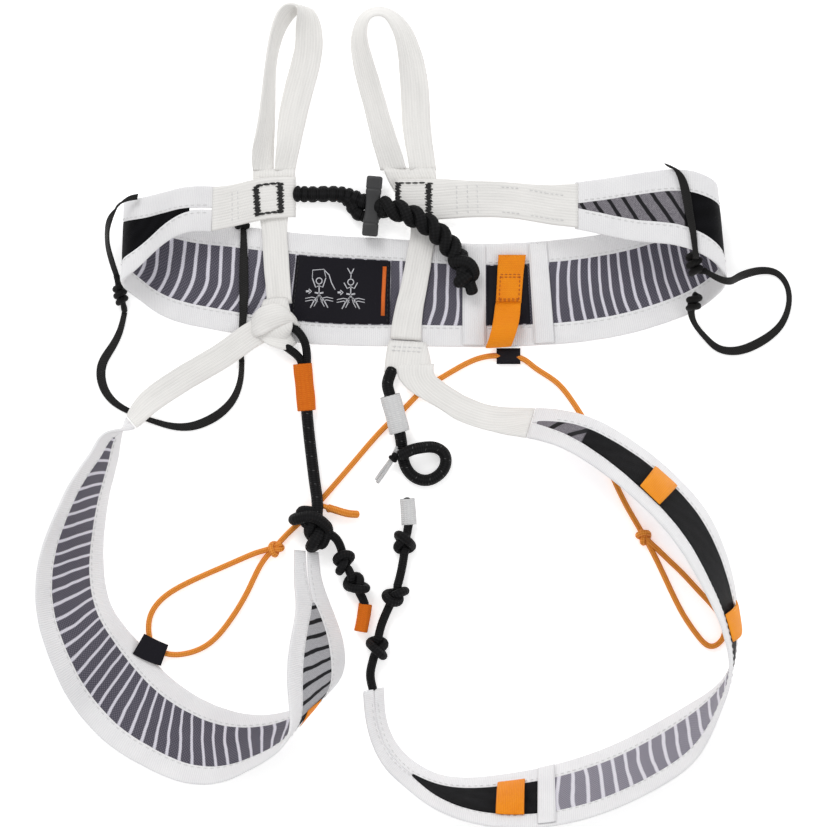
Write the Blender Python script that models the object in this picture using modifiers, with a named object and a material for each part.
"""Lightweight glacier harness, laid out on a table with its leg loops spread below the waist belt.

+Z is up out of the table, +Y runs from the leg loops to the tie-in loops and +X to the right. The belt
lies as a flattened ring: its back panel is on the table with the inner face up, and its front straps
cross above. Straps are ruled ribbons: each station of a route is (x, y, z, heading, lean, share) in
millimetres and degrees, where heading and lean aim the strap's width and share scales its width.
"""

import math

import bpy
import numpy as np
from mathutils import Matrix

MM = 0.001

# A band's stations are at most this far apart, and turn by at most this much (radians) from one to the next.
LONGEST_STEP = 11 * MM
MOST_TURN = 0.2

# Overall size of the laid-out harness, and the size that the routes below are drawn at.
laid_width = 375 * MM
laid_length = 410 * MM
DRAWN_WIDTH = 375 * MM
DRAWN_LENGTH = 410 * MM

# Webbing, fabric and tapes. The belt and the leg bands are cut in proportion to the harness's length.
belt_height = 53 * MM * laid_length / DRAWN_LENGTH
leg_band_width = 48 * MM * laid_length / DRAWN_LENGTH
edge_tape_width = 11 * MM
edge_tape_thickness = 1.8 * MM
fabric_thickness = 0.7 * MM
strap_thickness = 1.8 * MM
front_strap_width = 19 * MM
tie_in_width = 14 * MM
riser_width = 13 * MM
gear_tape_width = 4.6 * MM
gear_tape_thickness = 1.2 * MM
tool_loop_width = 14 * MM
trim_thickness = 0.8 * MM
haul_tape_width = 13 * MM
haul_tape_thickness = 1.2 * MM

# Cords.
elastic_diameter = 2.8 * MM
closure_cord_diameter = 5.6 * MM
knotted_cord_diameter = 4.6 * MM
waist_cord_diameter = 7.6 * MM
tail_cord_diameter = 5.0 * MM
sleeve_width = 9.6 * MM
sleeve_depth = 6.4 * MM

# Toggle on the waist cord.
toggle_length = 30 * MM
toggle_width = 8 * MM
toggle_waist = 5.5 * MM
toggle_thickness = 6.5 * MM

# Clearances.
layer_gap = 0.3 * MM
seam_gap = 0.7 * MM
end_gap = 0.5 * MM

WHITE = (0.86, 0.86, 0.83)
GREY_MESH = (0.27, 0.26, 0.33)
BLACK = (0.025, 0.025, 0.028)
ORANGE = (0.95, 0.40, 0.05)
TOGGLE_GREY = (0.13, 0.13, 0.14)

for old in list(bpy.data.objects):
    bpy.data.objects.remove(old, do_unlink=True)

harness = bpy.data.collections.new("climbing_harness")
bpy.context.scene.collection.children.link(harness)


# --- materials and shared shapes ------------------------------------------------------------------


def finish(name, colour, roughness):
    """A plain Principled material."""
    material = bpy.data.materials.new(name)
    material.use_nodes = True
    shader = material.node_tree.nodes["Principled BSDF"]
    shader.inputs["Base Color"].default_value = (*colour, 1.0)
    shader.inputs["Roughness"].default_value = roughness
    return material


webbing = finish("white_webbing", WHITE, 0.75)
mesh_fabric = finish("grey_mesh", GREY_MESH, 0.8)
black_fabric = finish("black_fabric", BLACK, 0.7)
black_cord = finish("black_cord", BLACK, 0.8)
orange_tape = finish("orange_tape", ORANGE, 0.6)
orange_elastic = finish("orange_elastic", ORANGE, 0.7)
grey_plastic = finish("grey_plastic", TOGGLE_GREY, 0.45)


def spline_at(marks, rows, where):
    """Values of a natural cubic spline through rows at the marks, read at the places in where."""
    gaps = np.diff(marks)
    size = len(marks)
    system = np.eye(size)
    pull = np.zeros_like(rows)
    for i in range(1, size - 1):
        system[i, i - 1 : i + 2] = gaps[i - 1], 2 * (gaps[i - 1] + gaps[i]), gaps[i]
        pull[i] = 6 * ((rows[i + 1] - rows[i]) / gaps[i] - (rows[i] - rows[i - 1]) / gaps[i - 1])
    bend = np.linalg.solve(system, pull)
    span = np.clip(np.searchsorted(marks, where, side="right") - 1, 0, size - 2)
    gap = gaps[span][:, None]
    before = (marks[span + 1] - where)[:, None] / gap
    after = 1 - before
    curved = (before**3 - before) * bend[span] + (after**3 - after) * bend[span + 1]
    return before * rows[span] + after * rows[span + 1] + curved * gap**2 / 6


def lengths_along(points):
    steps = np.linalg.norm(np.diff(points, axis=0), axis=1)
    return np.concatenate([[0.0], np.cumsum(steps)])


def drawn(rows):
    """Route stations in metres, stretched with the overall size of the laid-out harness."""
    rows = np.array(rows, dtype=float)
    rows[:, 0] *= MM * laid_width / DRAWN_WIDTH
    rows[:, 1] *= MM * laid_length / DRAWN_LENGTH
    rows[:, 2] *= MM
    return rows


def smooth(rows, count):
    """Evenly spaced stations on the smooth curve through a route's own stations."""
    rows = drawn(rows)
    marks = lengths_along(rows[:, :3])
    fine = spline_at(marks, rows, np.linspace(0, marks[-1], 40 * len(rows)))
    run = lengths_along(fine[:, :3])
    where = np.linspace(0, run[-1], count)
    return np.stack([np.interp(where, run, column) for column in fine.T], axis=1)


def unit(vectors):
    return vectors / np.linalg.norm(vectors, axis=1, keepdims=True)


class Band:
    """A ribbon's surface: its low edge, the direction across it, its width and its normal.

    Its stations are closer together where it bends or twists, and every layer of it shares them.
    """

    def __init__(self, rows, width, anchor=0.5):
        table = smooth(rows, 30 * len(rows))
        if table.shape[1] == 3:
            travel = np.gradient(table[:, :2], axis=0)
            self.across = unit(np.stack([-travel[:, 1], travel[:, 0], 0 * travel[:, 0]], axis=1))
            self.width = np.full(len(table), width)
        else:
            heading = np.radians(table[:, 3])
            lean = np.radians(table[:, 4])
            aim = [np.cos(heading) * np.cos(lean), np.sin(heading) * np.cos(lean), np.sin(lean)]
            self.across = np.stack(aim, axis=1)
            self.width = width * table[:, 5]
        self.low = table[:, :3] - anchor * self.width[:, None] * self.across
        middle = self.low + 0.5 * self.width[:, None] * self.across
        self.normal = unit(np.cross(np.gradient(middle, axis=0), self.across))
        self.run = lengths_along(middle)
        self.length = self.run[-1]
        turned = lengths_along(self.normal) + lengths_along(self.across)
        busy = self.run / LONGEST_STEP + turned / MOST_TURN
        self.stations = np.interp(np.linspace(0, busy[-1], int(busy[-1]) + 2), busy, self.run)

    def at(self, where, values):
        if values.ndim == 1:
            return np.interp(where, self.run, values)
        return np.stack([np.interp(where, self.run, column) for column in values.T], axis=1)

    def places(self, start, end):
        """Both ends of a span and the band's own stations between them."""
        near = 0.2 * LONGEST_STEP
        inner = self.stations[(self.stations > start + near) & (self.stations < end - near)]
        return np.concatenate([[start], inner, [end]])


def tape_reach(width):
    """Where the edge tapes end: a narrow band is shared by its two tapes."""
    return np.minimum(edge_tape_width, width / 2 - seam_gap / 2)


def full(width):
    return 0 * width, width


def low_edge(width):
    return 0 * width, tape_reach(width)


def high_edge(width):
    return width - tape_reach(width), width


def between_tapes(width):
    return tape_reach(width) + seam_gap, width - tape_reach(width) - seam_gap


def inset(margin):
    def edges(width):
        return margin + 0 * width, width - margin

    return edges


def link(shape, material):
    harness.objects.link(shape)
    shape.data.materials.append(material)
    return shape


def sheet(name, band, material, thickness, edges=full, lift=0.0, start=0.0, end=None):
    """A layer of a band between two lines along it, given thickness by Solidify."""
    where = band.places(start, band.length if end is None else end)
    middle = band.at(where, band.low) + lift * unit(band.at(where, band.normal))
    across = band.at(where, band.across)
    near, far = edges(band.at(where, band.width))
    vertices = np.stack([middle + near[:, None] * across, middle + far[:, None] * across], axis=1)
    faces = [(i, i + 2, i + 3, i + 1) for i in range(0, 2 * len(where) - 2, 2)]
    mesh = bpy.data.meshes.new(name)
    mesh.from_pydata(vertices.reshape(-1, 3).tolist(), [], faces)
    shape = link(bpy.data.objects.new(name, mesh), material)
    thicken = shape.modifiers.new("thickness", "SOLIDIFY")
    thicken.thickness = thickness
    thicken.offset = 0
    return shape


def cord_route(rows, diameter, spacing=2.5):
    """Points of a cord, one every few diameters on the smooth curve through its route."""
    count = int(lengths_along(drawn(rows)[:, :3])[-1] / (spacing * diameter)) + 4
    return smooth(rows, min(count, 80))


def tube(name, points, diameter, material, swell=None):
    """A cord as a curve with filled caps; swell scales its radius, as at a knot."""
    curve = bpy.data.curves.new(name, "CURVE")
    curve.dimensions = "3D"
    curve.bevel_depth = diameter / 2
    curve.bevel_resolution = 2
    curve.use_fill_caps = True
    spline = curve.splines.new("POLY")
    spline.points.add(len(points) - 1)
    for i, point in enumerate(points):
        spline.points[i].co = (*point[:3], 1.0)
        spline.points[i].radius = 1.0 if swell is None else swell[i]
    return link(bpy.data.objects.new(name, curve), material)


def knots_on(points, places, reach, size):
    """Radius factors along a cord that swells to size at each knot's place, given in metres along it."""
    run = lengths_along(points[:, :3])
    swell = np.ones(len(points))
    for place in places:
        near = np.clip(1 - ((run - place) / reach) ** 2, 0, 1)
        swell = np.maximum(swell, 1 + (size - 1) * np.sqrt(near))
    return swell


def lump(name, centre, radii, material, turn=0.0):
    """A knot as a plain rounded solid."""
    bpy.ops.mesh.primitive_uv_sphere_add(segments=14, ring_count=8, radius=1.0)
    shape = bpy.context.object
    shape.name = name
    shape.data.name = name
    for vertex in shape.data.vertices:
        vertex.co = [vertex.co[i] * radii[i] for i in range(3)]
    shape.location = drawn([centre])[0]
    shape.rotation_euler = (0, 0, math.radians(turn))
    for owner in list(shape.users_collection):
        owner.objects.unlink(shape)
    return link(shape, material)


# --- layer heights above the table ----------------------------------------------------------------

fabric_lift = fabric_thickness / 2 + layer_gap / 2
panel_level = max(edge_tape_thickness / 2, fabric_lift + fabric_thickness / 2) + 0.05 * MM
panel_top = panel_level + max(edge_tape_thickness / 2, fabric_lift + fabric_thickness / 2)
on_panel = panel_top + layer_gap
riser_level = panel_top + layer_gap + strap_thickness / 2
front_level = riser_level + strap_thickness + layer_gap

# The same levels in millimetres, for the routes.
FLAT = strap_thickness / MM / 2 + 0.1
BACK = panel_level / MM
RISER = riser_level / MM
FRONT = front_level / MM
THIN = gear_tape_thickness / MM / 2 + 0.05
STRETCHY = elastic_diameter / MM / 2 + 0.1


# --- waist belt -----------------------------------------------------------------------------------

# From the left front, round the left end, along the back on the table, round the right end to the front.
belt_route = [
    (-99.5, 102.5, 14, 88, 0, 0.43),
    (-113.5, 102, 18, 86, 0, 0.44),
    (-127, 96, 22, 84, 0, 0.55),
    (-137, 90, 24, 86, 0, 0.68),
    (-144.5, 86, 13, 88, 0, 0.78),
    (-138, 81, 3.2, 90, 0, 0.86),
    (-129, 76.5, BACK + 0.2, 88, 0, 0.93),
    (-114.5, 71.8, BACK, 84, 0, 0.97),
    (-95, 68.5, BACK, 84, 0, 1.0),
    (-57, 63.5, BACK, 84, 0, 1.03),
    (-32, 61.8, BACK, 86, 0, 1.03),
    (0, 60.8, BACK, 90, 0, 1.0),
    (33, 59.8, BACK, 90, 0, 0.98),
    (63, 60.8, BACK, 94, 0, 0.98),
    (93, 64, BACK, 98, 0, 0.98),
    (118, 70, BACK, 104, 0, 0.96),
    (135.5, 76.5, 2.4, 102, 0, 0.94),
    (147, 83, 7.5, 98, 0, 0.92),
    (152.5, 89.5, 16, 96, 0, 0.88),
    (149.5, 95.5, 25, 94, 0, 0.81),
    (140.5, 100.5, 30, 92, 0, 0.76),
    (129, 103, 31, 91, 0, 0.71),
    (113, 103, 29, 90, 0, 0.65),
    (96, 103.3, 26.5, 90, 0, 0.54),
    (80, 104, 23.5, 90, 0, 0.44),
]
belt = Band(belt_route, belt_height)


def where_wide(band):
    """First and last place where a band is wide enough to show fabric between its tapes."""
    wide = np.where(band.width > 2 * edge_tape_width + 4 * MM)[0]
    return float(band.run[wide[0]]), float(band.run[wide[-1]])


def along_back(x):
    """Distance along the belt of a place on its back panel, given by x in mm."""
    middle = belt.low + 0.5 * belt.width[:, None] * belt.across
    off = abs(middle[:, 0] - x * MM * laid_width / DRAWN_WIDTH)
    return belt.run[np.argmin(np.where(middle[:, 2] < panel_level + 1 * MM, off, 9.0))]


sheet("belt_lower_tape", belt, webbing, edge_tape_thickness, low_edge)
sheet("belt_upper_tape", belt, webbing, edge_tape_thickness, high_edge)
first, last = where_wide(belt)
panel_span = dict(start=first, end=last)
sheet("belt_inner_mesh", belt, mesh_fabric, fabric_thickness, between_tapes, fabric_lift, **panel_span)
sheet("belt_outer_fabric", belt, black_fabric, fabric_thickness, between_tapes, -fabric_lift, **panel_span)


def on_back(name, x_from, x_to, material, thickness, margin=1 * MM):
    """A flat piece sewn on the back panel between two places along it."""
    lift = on_panel - panel_level + thickness / 2
    span = dict(start=along_back(x_from), end=along_back(x_to))
    return sheet(name, belt, material, thickness, inset(margin), lift, **span)


on_fabric = edge_tape_width + seam_gap + 1 * MM
on_back("label_panel", -59, -13, black_fabric, trim_thickness, on_fabric)
on_back("left_cross_band", 24.5, 35.7, webbing, trim_thickness)
on_back("right_cross_band", 58.3, 68.5, webbing, trim_thickness)
on_back("rear_reinforcement", 36.6, 57.4, black_fabric, trim_thickness, on_fabric)

# Front straps, from the belt's narrow ends down to the tie-in loops.
left_front_route = [
    (-98.6, 102.7, 13.6, 88, 0, 1.15),
    (-92, 104, 11, 90, 0, 1.12),
    (-84, 106, 8.3, 93, 0, 1.1),
    (-75, 108, FRONT + 0.4, 94, 0, 1.1),
    (-67, 108.6, FRONT, 92, 0, 1.08),
    (-59, 108.8, FRONT, 90, 0, 1.06),
]
right_front_route = [
    (79.2, 104, 23.3, 90, 0, 1.15),
    (68.5, 104.5, 20, 91, 0, 1.05),
    (56, 106, 16, 92, 0, 0.97),
    (43, 107.3, 11.5, 92, 0, 0.95),
    (29, 107.8, 7.4, 92, 0, 0.97),
    (16, 107.8, FRONT + 0.3, 91, 0, 1.05),
    (4, 107.6, FRONT, 90, 0, 1.1),
    (-9.5, 107.5, FRONT, 90, 0, 1.1),
]
left_front = Band(left_front_route, front_strap_width)
right_front = Band(right_front_route, front_strap_width)
sheet("left_front_strap", left_front, webbing, strap_thickness, start=end_gap)
sheet("right_front_strap", right_front, webbing, strap_thickness, start=end_gap)

# Risers: the tie-in webbing runs on under the front strap and over the back panel to the leg loops.
left_riser_route = [
    (-70, 121, RISER, 2, 0, 1.62),
    (-70, 112, RISER, 2, 0, 1.55),
    (-70, 103, RISER, 2, 0, 1.25),
    (-69.8, 94, RISER, 2, 0, 1.0),
    (-69, 80, RISER, 3, 0, 0.98),
    (-68, 66, RISER, 4, 0, 0.96),
    (-67.2, 55.3, RISER, 4, 0, 0.96),
]
right_riser_route = [
    (-2.2, 121.5, RISER, 0, 0, 2.0),
    (1, 112, RISER, 0, 0, 1.7),
    (4.6, 102, RISER, -2, 0, 1.25),
    (4.8, 92, RISER, -6, 0, 1.0),
    (2.5, 78, RISER, -8, 0, 0.98),
    (-0.5, 62, RISER, -10, 0, 1.02),
    (-3.2, 48, RISER, -8, 0, 1.12),
    (-4.2, 37.6, RISER, -4, 0, 1.2),
]
sheet("left_riser", Band(left_riser_route, riser_width), webbing, strap_thickness)
sheet("right_riser", Band(right_riser_route, riser_width), webbing, strap_thickness)
BLOCK = 2.2 * strap_thickness
BLOCK_Z = RISER + (BLOCK - strap_thickness) / 2 / MM
block_route = [
    (-3.2, 36.9, BLOCK_Z, -3, 0, 1.42),
    (-3, 30, BLOCK_Z, -3, 0, 1.7),
    (-3, 21.4, BLOCK_Z, 0, 0, 1.82),
]
sheet("right_riser_block", Band(block_route, riser_width), webbing, BLOCK)
hitch_radii = (11.5 * MM, 10.4 * MM, 4.9 * MM)
lump("left_hitch", (-68.2, 44.2, panel_top / MM + 5.3), hitch_radii, webbing)

# Rear haul loop: sewn foot on the back panel and a free bight that lifts.
HAUL = (on_panel + trim_thickness + layer_gap + haul_tape_thickness / 2) / MM
haul_foot_route = [(49, 80, HAUL, 0, 0, 1.06), (48, 68, HAUL, 0, 0, 1.0), (47.2, 56.4, HAUL, 0, 0, 0.98)]
haul_loop_route = [
    (47.1, 55.6, HAUL, 0, 0, 0.98),
    (46.4, 50, 8.6, 0, 0, 1.0),
    (44.8, 42, 11.4, 2, 0, 1.0),
    (42.8, 36, 9.8, 4, 0, 1.0),
    (42.2, 34.2, 7.0, 4, 0, 1.0),
    (43.2, 36, 4.7, 3, 0, 0.96),
    (45.5, 43.0, 3.7, 0, 0, 0.9),
]
sheet("haul_loop_foot", Band(haul_foot_route, haul_tape_width), orange_tape, haul_tape_thickness)
sheet("haul_loop", Band(haul_loop_route, haul_tape_width), orange_tape, haul_tape_thickness)

# Tab for the two orange elastics, just below the belt.
tab_route = [(47.2, 32.2, 1.6, 0, 0, 0.92), (47.2, 25.6, 1.6, 0, 0, 0.92)]
sheet("elastic_tab", Band(tab_route, haul_tape_width), black_fabric, 2.5 * trim_thickness)


# --- tie-in loops ---------------------------------------------------------------------------------

left_tie_in_route = [
    (-70.2, 121.6, FLAT + 0.6, 176, 12, 0.76),
    (-70, 137.5, FLAT, 180, 47, 1.0),
    (-69.5, 157.5, FLAT, 187, 61, 1.0),
    (-69, 175, FLAT, 186, 69, 1.0),
    (-66.5, 186.5, FLAT, 172, 66, 1.0),
    (-63, 194.5, FLAT, 158, 59, 1.0),
    (-59, 199.8, FLAT, 158, 54, 1.0),
    (-55, 202.8, FLAT, 165, 55, 1.0),
    (-51, 202.6, FLAT, 170, 54, 1.0),
    (-48, 198.8, FLAT, 171, 43, 1.0),
    (-46, 192.5, FLAT, 173, 20, 1.0),
    (-45.5, 185, FLAT, 176, 4, 1.0),
    (-46.5, 176.5, FLAT, 178, 2, 1.06),
    (-50, 162.5, FLAT, 174, 2, 1.06),
    (-54, 146.5, FLAT, 171, 8, 1.0),
    (-57, 133.5, FLAT, 173, 22, 0.9),
    (-59.4, 121.6, FLAT + 0.6, 177, 12, 0.73),
]
right_tie_in_route = [
    (-16.8, 122.2, FLAT + 0.6, 4, 10, 0.94),
    (-20.5, 135, FLAT, 8, 26, 1.0),
    (-24.5, 151.5, FLAT, 9, 36, 1.0),
    (-29, 169, FLAT, 8, 40, 1.0),
    (-31, 179.5, FLAT, 3, 47, 1.0),
    (-31.5, 187.5, FLAT, -5, 54, 1.0),
    (-30, 194, FLAT, -14, 62, 1.0),
    (-26.5, 200, FLAT, -32, 68, 1.0),
    (-22, 203, FLAT, -62, 70, 1.0),
    (-17, 203.8, FLAT, -94, 70, 1.0),
    (-11.5, 202.5, FLAT, -122, 67, 1.0),
    (-5.5, 198.5, FLAT, -142, 57, 1.0),
    (-1, 192.5, FLAT, -156, 48, 1.0),
    (2.5, 184.5, FLAT, -167, 38, 1.0),
    (5.5, 175, FLAT, -173, 24, 1.02),
    (7.5, 162.5, FLAT, -175, 8, 1.03),
    (8.2, 148, FLAT, -176, 4, 1.03),
    (9.5, 135, FLAT, -178, 8, 1.0),
    (11.2, 122.2, FLAT + 0.6, -180, 8, 0.97),
]
sheet("left_tie_in_loop", Band(left_tie_in_route, tie_in_width, 0), webbing, strap_thickness)
sheet("right_tie_in_loop", Band(right_tie_in_route, tie_in_width, 0), webbing, strap_thickness)


# --- gear loops -----------------------------------------------------------------------------------

# The left one's tape lies over the back panel, over its edge and under the leg strap; the rest swings.
KEEPER = (on_panel + gear_tape_thickness / 2) / MM
left_keeper_route = [
    (-85.2, 94, KEEPER),
    (-85.0, 70, KEEPER),
    (-85.4, 50, KEEPER),
    (-85.8, 44, KEEPER),
    (-86, 40.6, KEEPER - 0.1),
    (-86.3, 37, THIN + 0.9),
    (-86.4, 33, THIN + 0.25),
    (-86.3, 27.4, THIN + 0.1),
]
left_gear_route = [
    (-86, 25.6, THIN),
    (-87, 16.5, THIN),
    (-91, 7, THIN),
    (-101.5, -2, THIN),
    (-114.5, -6, THIN),
    (-128, -3.8, THIN),
    (-141, 1.2, THIN),
    (-150.5, 7, THIN),
    (-156, 16.5, THIN),
    (-155.8, 25.5, THIN),
    (-151, 34, THIN),
    (-147, 42, THIN + 0.3),
    (-144.6, 51.4, 1.6),
]
left_anchor_route = [
    (-148.2, 69.0, 6, 20, 20, 1.0),
    (-150.8, 77, 10, 10, 40, 1.0),
    (-152.6, 86, 16, 0, 60, 1.0),
    (-152, 94, 22, 0, 55, 1.0),
    (-148.5, 102, 26.8, 35, 20, 1.0),
    (-142.5, 107, 28.2, 60, 0, 1.0),
    (-137, 108.3, 28.2, 80, 0, 1.0),
]
sheet("left_gear_keeper", Band(left_keeper_route, gear_tape_width), black_fabric, gear_tape_thickness)
sheet("left_gear_loop", Band(left_gear_route, gear_tape_width), black_fabric, gear_tape_thickness)
sheet("left_gear_anchor", Band(left_anchor_route, gear_tape_width), black_fabric, gear_tape_thickness)
lump("left_gear_knot", (-146.6, 60.4, 4.2), (3.4 * MM, 6.2 * MM, 3.4 * MM), black_cord, turn=12)

right_gear_route = [
    (144.6, 71.6, 23, 95, 10, 1.0),
    (150, 68.4, 22.8, 90, 20, 1.0),
    (156.4, 66.6, 19, 92, 30, 1.0),
    (161, 68.4, 12.4, 95, 30, 1.0),
    (167, 70.8, 6, 100, 25, 1.0),
    (174, 72.2, 2, 100, 12, 1.0),
    (181, 71.0, THIN + 0.3, 65, 0, 1.0),
    (186, 65.5, THIN, 25, 0, 1.0),
    (187.4, 56, THIN, -10, 0, 1.0),
    (183.3, 45, THIN, -38, 0, 1.0),
    (173, 36.5, THIN, -62, 0, 1.0),
    (160, 32, 0.8, -82, 0, 1.0),
    (152.5, 33.2, 1.2, -108, 0, 1.0),
    (145.5, 39, 2.2, -122, 0, 1.0),
    (140, 46, 5.0, -130, 0, 1.1),
    (138.2, 52.5, 8.7, -172, 0, 1.25),
    (138.8, 58.2, 10.7, -174, 0, 1.3),
]
right_anchor_route = [
    (125.5, 123.6, 31.5, 145, 0, 1.0),
    (130, 121.3, 33.6, 160, 0, 1.0),
    (133.5, 114.5, 33.8, 172, 0, 1.0),
    (136.2, 101, 33.4, 176, 0, 1.0),
    (138.6, 88, 32.9, 174, 0, 1.0),
    (139.4, 81.0, 32.4, 174, 0, 1.0),
    (139.9, 78.3, 30.6, 176, 0, 1.0),
    (139.9, 77.9, 28.0, 178, 0, 1.0),
]
sheet("right_gear_loop", Band(right_gear_route, gear_tape_width), black_fabric, gear_tape_thickness)
sheet("right_gear_anchor", Band(right_anchor_route, gear_tape_width), black_fabric, gear_tape_thickness)
lump("right_gear_knot", (139.2, 74.6, 22.6), (4.2 * MM, 6.4 * MM, 4.2 * MM), black_cord, turn=8)


# --- waist closure --------------------------------------------------------------------------------

waist_cord_route = [
    (-58.3, 110.4, 4.6),
    (-50, 110.2, 4.2),
    (-41, 110.4, 4.2),
    (-34.5, 109.8, 4.2),
    (-30.8, 106.8, 4.2),
    (-30, 102.5, 4.2),
    (-30.4, 99, 4.2),
]
tube("waist_cord", smooth(waist_cord_route, 14), waist_cord_diameter, black_cord)

tail_route = [
    (-15.4, 103.8, 11.4),
    (-10, 102.4, 12.4),
    (0, 98.8, 12.6),
    (10, 92.4, 11.6),
    (17, 85.4, 9.2),
    (22, 78.4, 8.6),
    (26.2, 70.4, 9.6),
    (29, 61.5, 9.8),
]
tail_points = smooth(tail_route, 40)
tail_length = lengths_along(tail_points[:, :3])[-1]
bead_places = [tail_length * share for share in (0.12, 0.3, 0.48, 0.66)]
tail_swell = knots_on(tail_points, bead_places, 5.2 * MM, 2.0)
end_knot = knots_on(tail_points, [tail_length * 0.88], 8 * MM, 2.6)
tube("waist_cord_tail", tail_points, tail_cord_diameter, black_cord, np.maximum(tail_swell, end_knot))


def toggle_half_width(y):
    """Half width of the toggle at a distance y from its middle: full at the ends, waisted between."""
    near_waist = math.exp(-((y / (0.2 * toggle_length)) ** 2))
    return toggle_width / 2 - (toggle_width - toggle_waist) / 2 * near_waist


toggle_curve = bpy.data.curves.new("waist_toggle", "CURVE")
toggle_curve.dimensions = "2D"
toggle_curve.fill_mode = "BOTH"
toggle_curve.extrude = toggle_thickness / 2
toggle_outline = toggle_curve.splines.new("POLY")
side = [(toggle_half_width(y), y) for y in np.linspace(-toggle_length / 2, toggle_length / 2, 13)]
outline = side + [(-x, y) for x, y in reversed(side)]
toggle_outline.points.add(len(outline) - 1)
for point, (x, y) in zip(toggle_outline.points, outline):
    point.co = (x, y, 0, 1)
toggle_outline.use_cyclic_u = True
toggle = link(bpy.data.objects.new("waist_toggle", toggle_curve), grey_plastic)
toggle.location = drawn([(-20.8, 104.2, 8.2)])[0]
toggle.rotation_euler = (0, 0, math.radians(-5))


# --- left leg loop --------------------------------------------------------------------------------

left_leg_route = [
    (-85.8, 44.6, RISER + 1.6, -60, 0, 0.27),
    (-95, 38, RISER + 1.2, -60, 0, 0.27),
    (-108, 30, RISER + 0.8, -60, 0, 0.27),
    (-126, 19, 3.8, -62, 6, 0.27),
    (-138, 9, 2.8, -58, 26, 0.27),
    (-143.5, -0.5, 2.4, -48, 58, 0.30),
    (-146.5, -11.5, 1.6, -38, 105, 0.46),
    (-148.5, -23, FLAT, -32, 115, 0.62),
    (-152, -37.5, FLAT, -17, 117, 0.83),
    (-154.5, -52.5, FLAT, -4, 121, 0.96),
    (-155.5, -71, FLAT, 3, 129, 1.0),
    (-154.2, -86, FLAT, 8, 134, 1.0),
    (-150, -98, FLAT, 17, 139, 1.0),
    (-143.5, -107, FLAT, 32, 147, 1.0),
    (-136, -115.5, FLAT, 46, 160, 1.0),
    (-127, -126, FLAT, 56, 161, 1.0),
    (-117, -135, FLAT, 65, 154, 1.0),
    (-104, -143, FLAT, 74, 148, 1.0),
    (-89.5, -148.5, FLAT, 79, 135, 1.0),
    (-76, -150.2, FLAT, 75, 124, 1.0),
    (-60, -147.5, FLAT, 64, 119, 1.0),
    (-44.5, -139.5, FLAT, 46, 122, 0.98),
    (-36.2, -130, FLAT, 30, 130, 0.95),
    (-34.8, -119, FLAT, 14, 134, 0.86),
    (-38.2, -104.5, FLAT, 6, 132, 0.69),
    (-43.2, -91.5, FLAT, 0, 138, 0.44),
    (-46.6, -80, FLAT + 0.2, -8, 160, 0.30),
    (-47.6, -68.6, 2.2, -6, 174, 0.26),
]
left_leg = Band(left_leg_route, leg_band_width, 0)


def strap_end(band):
    """Where the plain strap at the start of a leg loop gives way to its wider, taped band."""
    return float(band.run[np.argmax(band.width > 1.12 * band.width[0])])


def leg_band(side_name, band, mesh_side):
    """The edge tapes of a leg loop, and its striped mesh and black fabric face to face."""
    seam = strap_end(band)
    sheet(f"{side_name}_leg_strap", band, webbing, strap_thickness, end=seam - end_gap)
    sheet(f"{side_name}_leg_foot_tape", band, webbing, edge_tape_thickness, low_edge, start=seam)
    sheet(f"{side_name}_leg_rim_tape", band, webbing, edge_tape_thickness, high_edge, start=seam)
    start, end = where_wide(band)
    layers = (("inner_mesh", mesh_fabric, mesh_side), ("outer_fabric", black_fabric, -mesh_side))
    for layer, material, face in layers:
        lift = face * fabric_lift
        name = f"{side_name}_leg_{layer}"
        sheet(name, band, material, fabric_thickness, between_tapes, lift, start, end)


leg_band("left", left_leg, -1)

# Closure: doubled cord from the hitch into an orange sleeve, one cord on to the big knot, a knotted tail.
loop_route = [(-61, 31.6, 7.0), (-57.8, 31.2, 6.0), (-55.6, 29.2, 5.2), (-54.9, 27.1, 4.9)]
tube("left_closure_loop", smooth(loop_route, 7), closure_cord_diameter, black_cord)
sleeve_route = [(-54.7, 25.7, 4.8, 0, 0, 1), (-54.4, 14, 4.6, 2, 0, 1), (-53.6, 2.6, 4.6, 3, 0, 1)]
sheet("left_closure_sleeve", Band(sleeve_route, sleeve_width), orange_tape, sleeve_depth)
closure_route = [
    (-53.5, 2.0, 4.6),
    (-52.6, -8, 4.2),
    (-51, -22, 4.4),
    (-49.2, -36, 5.4),
    (-48.2, -45.2, 8.2),
]
tube("left_closure_cord", smooth(closure_route, 12), closure_cord_diameter, black_cord)
knot_radii = (10.4 * MM, 8.4 * MM, 5.6 * MM)
lump("left_closure_knot", (-50.4, -57.2, 9.8), knot_radii, black_cord, turn=-6)
left_tail_route = [
    (-39.2, -61.4, 7.4),
    (-36.6, -66, 6.6),
    (-35, -71.8, 6.4),
    (-32.4, -77.6, 6.2),
    (-29.6, -84.6, 6.0),
    (-26, -91, 4.6),
    (-24.8, -93.3, 3.95),
]
left_tail_points = smooth(left_tail_route, 26)
left_tail_length = lengths_along(left_tail_points[:, :3])[-1]
left_tail_knots = [0.37 * left_tail_length, 0.7 * left_tail_length]
left_tail_swell = knots_on(left_tail_points, left_tail_knots, 5 * MM, 2.2)
tube("left_closure_tail", left_tail_points, knotted_cord_diameter, black_cord, left_tail_swell)
tip_route = [(-24.2, -95.4, 3.4), (-25.2, -101, 3.1), (-26.6, -108, 3.1)]
tube("left_tail_tip", smooth(tip_route, 5), 1.15 * knotted_cord_diameter, orange_tape)

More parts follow.
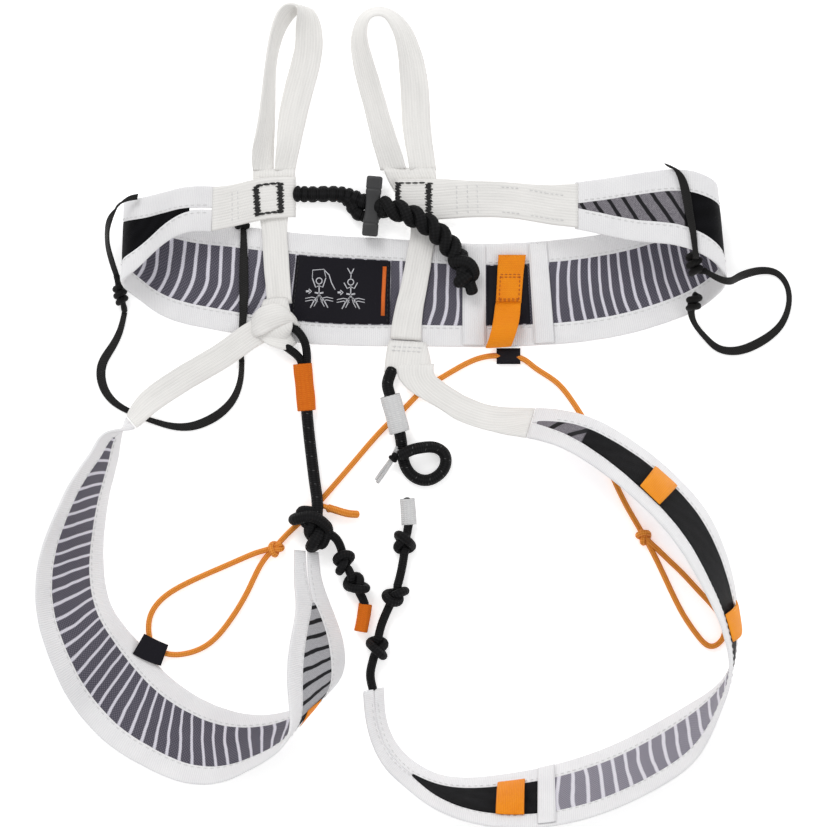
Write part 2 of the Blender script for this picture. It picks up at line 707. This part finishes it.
# Orange elastic from the belt's tab to a knot, and on as a loop through the left leg's black tab.
left_elastic_route = [
    (40.7, 29.6, STRETCHY),
    (31.5, 28, STRETCHY),
    (22, 23.5, STRETCHY),
    (13.5, 18.5, STRETCHY),
    (4.5, 12.5, STRETCHY),
    (-5, 3, STRETCHY),
    (-13.5, -5, STRETCHY),
    (-27, -20, STRETCHY),
    (-42, -37.5, STRETCHY),
    (-50, -46.5, STRETCHY),
    (-57, -53.6, STRETCHY),
    (-64.6, -60.8, STRETCHY),
]
tube("left_elastic", cord_route(left_elastic_route, elastic_diameter, 4), elastic_diameter, orange_elastic)
left_loop_route = [
    (-68.8, -65.6, 3.6),
    (-72.6, -67.0, 3.6),
    (-78, -68.6, 1.8),
    (-86, -71.8, STRETCHY),
    (-97, -76.6, STRETCHY),
    (-115, -84.8, STRETCHY),
    (-126.5, -92.5, STRETCHY),
    (-131.6, -100, STRETCHY),
    (-132.6, -108, STRETCHY),
    (-130.4, -115.2, STRETCHY),
    (-124.6, -119, STRETCHY),
    (-115, -119.4, STRETCHY),
    (-103.5, -115, STRETCHY),
    (-92.5, -103.4, STRETCHY),
    (-82.6, -87, STRETCHY),
    (-74.2, -71.4, 1.8),
]
left_loop_points = cord_route(left_loop_route, elastic_diameter, 2.2)
left_loop_knot = knots_on(left_loop_points, [3 * MM], 5 * MM, 2.4)
tube("left_elastic_loop", left_loop_points, elastic_diameter, orange_elastic, left_loop_knot)
left_tab_route = [
    (-137.6, -114.2, 4.8, 60, 0, 0.9),
    (-131, -117.6, 4.4, 64, 0, 0.9),
    (-124.5, -120, 4.2, 70, 0, 0.86),
]
sheet("left_elastic_tab", Band(left_tab_route, haul_tape_width), black_fabric, trim_thickness)


# --- right leg loop -------------------------------------------------------------------------------

right_leg_route = [
    (9.2, 20.8, RISER + 1.0, 184, 0, 0.35),
    (14, 17, RISER + 1.0, 216, 4, 0.29),
    (24, 10.5, 4.8, 246, 12, 0.27),
    (38, 5, 4.6, 262, 20, 0.28),
    (58, 3.4, 4.4, 254, 42, 0.42),
    (81, 0.8, 4.2, 243, 54, 0.66),
    (104.5, -10, 3.8, 236, 58, 0.84),
    (124, -24.5, 2.4, 228, 61, 0.96),
    (138, -38, 1.4, 221, 62, 1.0),
    (148, -51.5, FLAT, 219, 63, 1.0),
    (155.5, -68.5, FLAT, 220, 66, 1.0),
    (160, -86, FLAT, 223, 71, 1.0),
    (161.6, -100, FLAT, 228, 75, 1.0),
    (161, -114, FLAT, 236, 79, 1.0),
    (157.6, -127.5, FLAT, 250, 79, 1.0),
    (150.5, -136.2, FLAT, 266, 73, 1.0),
    (138, -144.5, FLAT, 279, 62, 1.0),
    (116.5, -156.8, FLAT, 284, 56, 1.0),
    (98, -165.8, FLAT, 279, 54.5, 1.0),
    (77.5, -173, FLAT, 272, 54, 1.0),
    (61.5, -177, FLAT, 268, 56, 1.0),
    (43.5, -180, FLAT, 265, 59, 0.96),
    (26, -181.5, FLAT, 258, 62, 0.83),
    (13.5, -180, FLAT, 245, 63, 0.67),
    (1, -174, FLAT, 231, 58, 0.46),
    (-9.5, -163, FLAT, 220, 42, 0.31),
    (-14.4, -149.5, 1.2, 198, 40, 0.27),
    (-15, -138, 2.0, 190, 38, 0.27),
]
right_leg = Band(right_leg_route, leg_band_width, 0)


leg_band("right", right_leg, 1)


def across_right_leg(name, x, y, length, material, side, thickness, margin):
    """A piece sewn across the right leg band near a place on its foot edge; side 1 is the mesh face."""
    target = drawn([(x, y, 0)])[0]
    middle = float(right_leg.run[np.argmin(np.linalg.norm(right_leg.low[:, :2] - target[:2], axis=1))])
    lift = side * (edge_tape_thickness / 2 + layer_gap + thickness / 2)
    span = dict(start=middle - length / 2, end=middle + length / 2)
    return sheet(name, right_leg, material, thickness, inset(margin), lift, **span)


across_right_leg("right_leg_cross_band", 66, -176, 9 * MM, webbing, 1, trim_thickness, 1 * MM)
across_right_leg("tool_loop_upper", 128, -28, tool_loop_width, orange_tape, -1, 1.4 * MM, 9 * MM)
across_right_leg("tool_loop_middle", 161.6, -98, tool_loop_width, orange_tape, -1, 1.4 * MM, 8 * MM)
across_right_leg("tool_loop_lower", 49, -179, tool_loop_width, orange_tape, 1, 1.4 * MM, 9 * MM)

right_elastic_route = [
    (54.0, 28.2, STRETCHY),
    (60, 24, STRETCHY),
    (71, 16.5, STRETCHY),
    (79, 7, STRETCHY),
    (85.4, -3, STRETCHY),
    (93, -17, STRETCHY),
    (100, -32.5, STRETCHY),
    (107.4, -47.5, STRETCHY),
    (111.4, -54.4, STRETCHY),
]
tube("right_elastic", cord_route(right_elastic_route, elastic_diameter, 4), elastic_diameter, orange_elastic)
right_loop_route = [
    (114.6, -60, 3.6),
    (117, -62.6, 3.6),
    (121.4, -66.8, 1.9),
    (126.6, -71.8, STRETCHY),
    (133.5, -78.4, STRETCHY),
    (143, -88.6, STRETCHY),
    (150.6, -97, STRETCHY),
    (154.6, -104, STRETCHY),
    (154.4, -111.4, STRETCHY),
    (149, -115.6, STRETCHY),
    (141.6, -110, STRETCHY),
    (133.6, -98, STRETCHY),
    (126, -82.5, STRETCHY),
    (119, -68, 1.8),
]
right_loop_points = cord_route(right_loop_route, elastic_diameter, 2.2)
right_loop_knot = knots_on(right_loop_points, [2.6 * MM], 4.8 * MM, 2.4)
tube("right_elastic_loop", right_loop_points, elastic_diameter, orange_elastic, right_loop_knot)

# The knotted cord that closes the right leg, lying loose from the end of the leg band.
knotted_route = [
    (-20.6, -136.6, 4.8),
    (-21.8, -130, 4.4),
    (-20.6, -123, 5.0),
    (-18.6, -115, 5.0),
    (-16.6, -106, 4.2),
    (-12.6, -96, 4.6),
    (-9.2, -88, 5.0),
    (-6.6, -79, 4.2),
    (-5, -70, 4.6),
    (-4, -62.4, 5.0),
    (-2.75, -55.3, 2.9),
]
knotted_points = smooth(knotted_route, 40)
knotted_length = lengths_along(knotted_points[:, :3])[-1]
knotted_places = [share * knotted_length for share in (0.175, 0.53, 0.86)]
knotted_swell = knots_on(knotted_points, knotted_places, 5.6 * MM, 2.1)
tube("right_knotted_cord", knotted_points, knotted_cord_diameter, black_cord, knotted_swell)
white_tip_route = [(-2.5, -53.4, 2.8), (-2.9, -48, 2.8), (-3.2, -42.4, 2.8)]
tube("right_cord_tip", smooth(white_tip_route, 4), 1.2 * knotted_cord_diameter, webbing)

# Closure loop of the right leg: cord from the block through a white sleeve to a round bight.
closure_top_route = [(-11.8, 20.0, 4.6), (-13.2, 15, 5.4), (-11.9, 10.6, 6.2)]
right_sleeve_route = [
    (-11.4, 9.1, 6.7, 0, 0, 1),
    (-9.6, 2, 6.7, 6, 0, 1),
    (-7.2, -8.6, 5.6, 8, 0, 1),
]
bight_route = [
    (-7.0, -9.6, 5.0),
    (-6.2, -15, 3.6),
    (-5.6, -20.5, 3.1),
    (-3.8, -26.5, 3.1),
    (0.6, -31.2, 3.1),
    (6.4, -32.6, 3.1),
    (12, -30.2, 3.1),
    (15.6, -25, 3.1),
    (15.2, -19.6, 3.4),
    (11, -16.4, 4.6),
    (4.6, -16.2, 7.0),
    (-1.6, -17.6, 9.2),
    (-6.4, -20, 9.4),
]
tube("right_closure_top", smooth(closure_top_route, 5), closure_cord_diameter, black_cord)
sheet("right_closure_sleeve", Band(right_sleeve_route, sleeve_width), webbing, sleeve_depth)
tube("right_closure_cord", smooth(bight_route, 34), closure_cord_diameter, black_cord)


# --- pivots ---------------------------------------------------------------------------------------


def pivot(name, place, names):
    """An empty on a joint's axis that carries the pieces swinging about it."""
    empty = bpy.data.objects.new(name, None)
    harness.objects.link(empty)
    empty.location = drawn([place])[0]
    for piece in names:
        bpy.data.objects[piece].parent = empty
        bpy.data.objects[piece].matrix_parent_inverse = Matrix.Translation(-empty.location)


left_leg_pieces = [
    "left_leg_strap",
    "left_leg_foot_tape",
    "left_leg_rim_tape",
    "left_leg_inner_mesh",
    "left_leg_outer_fabric",
    "left_closure_loop",
    "left_closure_sleeve",
    "left_closure_cord",
    "left_closure_knot",
    "left_closure_tail",
    "left_tail_tip",
    "left_elastic_loop",
    "left_elastic_tab",
]
right_leg_pieces = [
    "right_leg_strap",
    "right_leg_foot_tape",
    "right_leg_rim_tape",
    "right_leg_inner_mesh",
    "right_leg_outer_fabric",
    "right_leg_cross_band",
    "tool_loop_upper",
    "tool_loop_middle",
    "tool_loop_lower",
    "right_elastic_loop",
    "right_knotted_cord",
    "right_cord_tip",
]
pivot("left_tie_in_pivot", (-65, 121.3, 5), ["left_tie_in_loop"])
pivot("right_tie_in_pivot", (-2.5, 121.8, 5), ["right_tie_in_loop"])
pivot("left_gear_pivot", (-86.2, 26.5, 1.3), ["left_gear_loop"])
pivot("right_gear_pivot", (139, 66, 16.3), ["right_gear_loop"])
pivot("haul_pivot", (47.1, 56, 5), ["haul_loop"])
pivot("toggle_pivot", (-20.8, 104.2, 8.2), ["waist_toggle"])
pivot("left_leg_pivot", (-68, 45.2, 8), left_leg_pieces)
pivot("right_leg_pivot", (-3, 21.1, 8), right_leg_pieces)
closure_pieces = ["right_closure_top", "right_closure_sleeve", "right_closure_cord"]
pivot("right_closure_pivot", (-12, 21.1, 8), closure_pieces)
